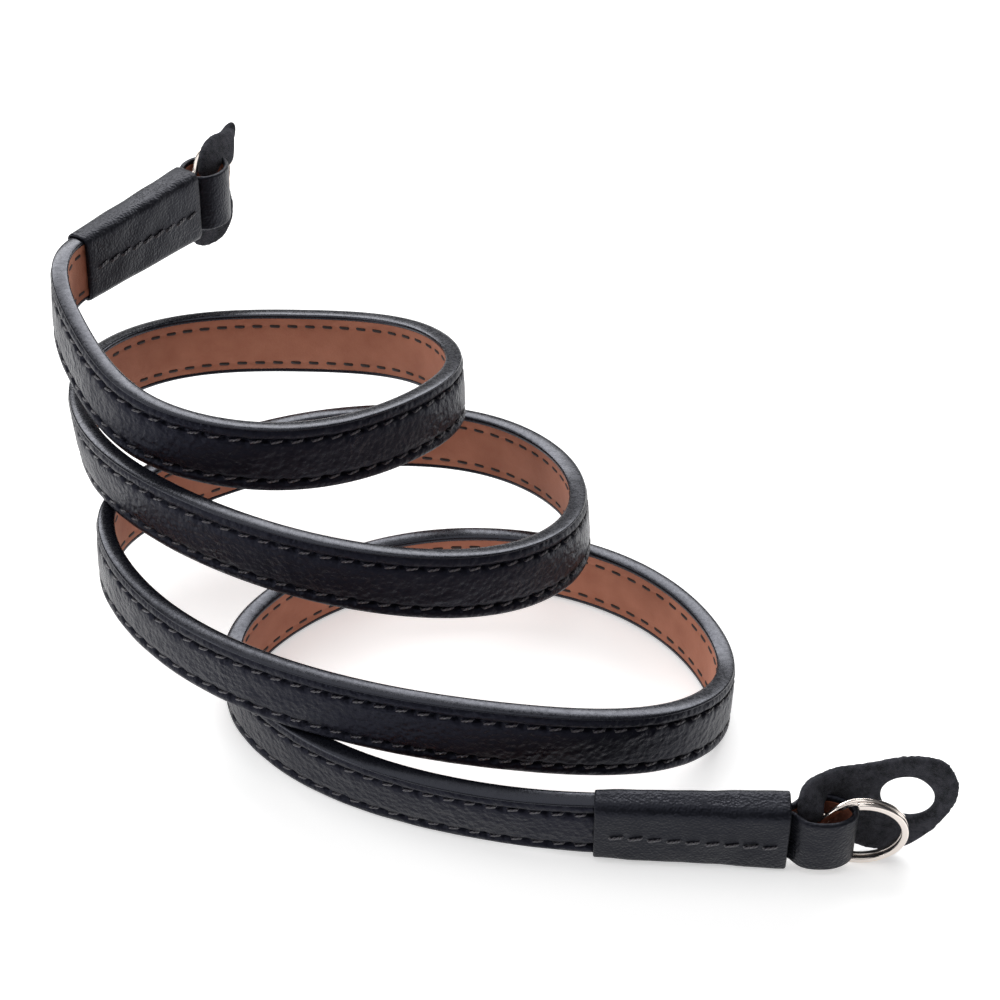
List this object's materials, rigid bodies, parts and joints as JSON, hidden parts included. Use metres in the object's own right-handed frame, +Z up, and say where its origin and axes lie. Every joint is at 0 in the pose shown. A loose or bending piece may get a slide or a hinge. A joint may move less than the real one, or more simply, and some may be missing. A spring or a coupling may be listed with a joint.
{
  "type": "camera neck strap",
  "caption": "Narrow stitched leather camera neck strap standing on its edge in stacked loops, with a sleeve, end loop, split ring and lug tab at each end.",
  "frame": {"origin": "under the middle of the whole strap, on the surface it rests on", "axes": "+Z up; the near end with its ring points along +X, and the far end points towards +Y"},
  "size_m": [0.1538, 0.1542, 0.0577],
  "materials": {
    "outer_leather": "black grained leather, waxed, with glossy painted edges and black stitches",
    "lining_leather": "matte tan leather lining",
    "sleeve_leather": "smooth fine-grained black leather",
    "loop_leather": "black leather, tan on the flesh side",
    "suede": "black suede, napped",
    "nickel": "bright nickel plate"
  },
  "bodies": {
    "root": {"strap_leather": "outer_leather", "strap_lining": "lining_leather", "sleeve_near": "sleeve_leather", "sleeve_far": "sleeve_leather", "end_loop_near": "loop_leather", "end_loop_far": "loop_leather", "split_ring_near": "nickel", "split_ring_far": "nickel", "lug_tab_near": "suede", "lug_tab_far": "suede"}
  },
  "joints": []
}
